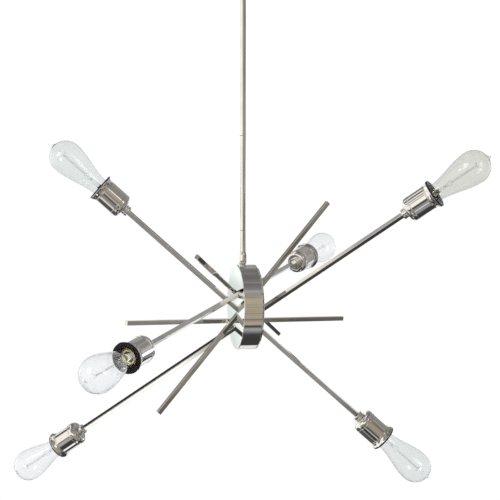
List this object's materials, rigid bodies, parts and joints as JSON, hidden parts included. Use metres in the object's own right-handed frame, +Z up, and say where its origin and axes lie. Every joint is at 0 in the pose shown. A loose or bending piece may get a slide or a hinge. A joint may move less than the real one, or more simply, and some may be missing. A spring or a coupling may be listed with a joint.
{
  "type": "chandelier",
  "caption": "ceiling light with a polished round drum on a rigid stem, pierced by crossing square tubes that carry exposed pear-shaped filament bulbs and by plain accent rods",
  "frame": {"origin": "centre of the mounting strap's top face, which lies on the ceiling", "axes": "+Z up into the ceiling, +X to the right and -Y towards a viewer who sees the drum's edge, with the drum's axis turned 12.5 degrees from +X towards +Y"},
  "size_m": [0.8589, 0.784, 1.0149],
  "materials": {
    "polished_nickel": "polished nickel plating, mirror-like and slightly warm",
    "zinc_steel": "zinc-plated steel, dull",
    "brass_contacts": "plain bright brass",
    "black_phenolic": "black moulded phenolic, satin",
    "clear_glass": "clear blown glass, very slightly grey",
    "cap_metal": "rolled metal lamp cap with fine wire above it",
    "wire_insulation": "off-white cable sheath"
  },
  "bodies": {
    "ceiling_kit": {"mounting_strap": "zinc_steel", "canopy": "polished_nickel", "canopy_screw_1": "polished_nickel", "canopy_screw_2": "polished_nickel"},
    "swivel": {"swivel_yoke": "polished_nickel", "swivel_pin": "zinc_steel"},
    "fixture": {"accent_rod_1": "polished_nickel", "accent_rod_2": "polished_nickel", "accent_rod_3": "polished_nickel", "arm_collar_1": "polished_nickel", "arm_collar_2": "polished_nickel", "arm_collar_3": "polished_nickel", "arm_collar_4": "polished_nickel", "arm_collar_5": "polished_nickel", "arm_collar_6": "polished_nickel", "drum_body": "polished_nickel", "drum_cover": "polished_nickel", "drum_nut": "zinc_steel", "light_tube_1": "polished_nickel", "light_tube_2": "polished_nickel", "light_tube_3": "polished_nickel", "screw_shell_1": "brass_contacts", "screw_shell_2": "brass_contacts", "screw_shell_3": "brass_contacts", "screw_shell_4": "brass_contacts", "screw_shell_5": "brass_contacts", "screw_shell_6": "brass_contacts", "socket_insulator_1": "black_phenolic", "socket_insulator_2": "black_phenolic", "socket_insulator_3": "black_phenolic", "socket_insulator_4": "black_phenolic", "socket_insulator_5": "black_phenolic", "socket_insulator_6": "black_phenolic", "socket_shell_1": "polished_nickel", "socket_shell_2": "polished_nickel", "socket_shell_3": "polished_nickel", "socket_shell_4": "polished_nickel", "socket_shell_5": "polished_nickel", "socket_shell_6": "polished_nickel", "stem_collar": "polished_nickel", "stem_lower": "polished_nickel", "stem_middle": "polished_nickel", "stem_nipple_1": "zinc_steel", "stem_nipple_2": "zinc_steel", "stem_nipple_3": "zinc_steel", "stem_upper": "polished_nickel", "supply_cable": "wire_insulation", "swivel_tongue": "polished_nickel"},
    "bulb_1": {"bulb_glass_1": "clear_glass", "bulb_base_1": "cap_metal"},
    "bulb_2": {"bulb_glass_2": "clear_glass", "bulb_base_2": "cap_metal"},
    "bulb_3": {"bulb_glass_3": "clear_glass", "bulb_base_3": "cap_metal"},
    "bulb_4": {"bulb_glass_4": "clear_glass", "bulb_base_4": "cap_metal"},
    "bulb_5": {"bulb_glass_5": "clear_glass", "bulb_base_5": "cap_metal"},
    "bulb_6": {"bulb_glass_6": "clear_glass", "bulb_base_6": "cap_metal"}
  },
  "joints": [
    {"name": "swivel_turn", "type": "hinge", "parent": "ceiling_kit", "child": "swivel", "pos_m": [0, 0, -0.021], "axis": [0, 0, 1], "range_deg": [-165, 165]},
    {"name": "fixture_tilt", "type": "hinge", "parent": "swivel", "child": "fixture", "pos_m": [0, 0, -0.046], "axis": [0.5, 0.866, 0], "range_deg": [-30, 30]},
    {"name": "bulb_1_unscrew", "type": "slide", "parent": "fixture", "child": "bulb_1", "axis": [-0.7417, -0.1042, 0.6626], "range_m": [0, 0.032]},
    {"name": "bulb_2_unscrew", "type": "slide", "parent": "fixture", "child": "bulb_2", "axis": [0.7763, -0.3295, 0.5373], "range_m": [0, 0.032]},
    {"name": "bulb_3_unscrew", "type": "slide", "parent": "fixture", "child": "bulb_3", "axis": [0.4424, 0.8682, 0.225], "range_m": [0, 0.032]},
    {"name": "bulb_4_unscrew", "type": "slide", "parent": "fixture", "child": "bulb_4", "axis": [-0.4424, -0.8682, -0.225], "range_m": [0, 0.032]},
    {"name": "bulb_5_unscrew", "type": "slide", "parent": "fixture", "child": "bulb_5", "axis": [-0.7763, 0.3295, -0.5373], "range_m": [0, 0.032]},
    {"name": "bulb_6_unscrew", "type": "slide", "parent": "fixture", "child": "bulb_6", "axis": [0.7417, 0.1042, -0.6626], "range_m": [0, 0.032]}
  ]
}
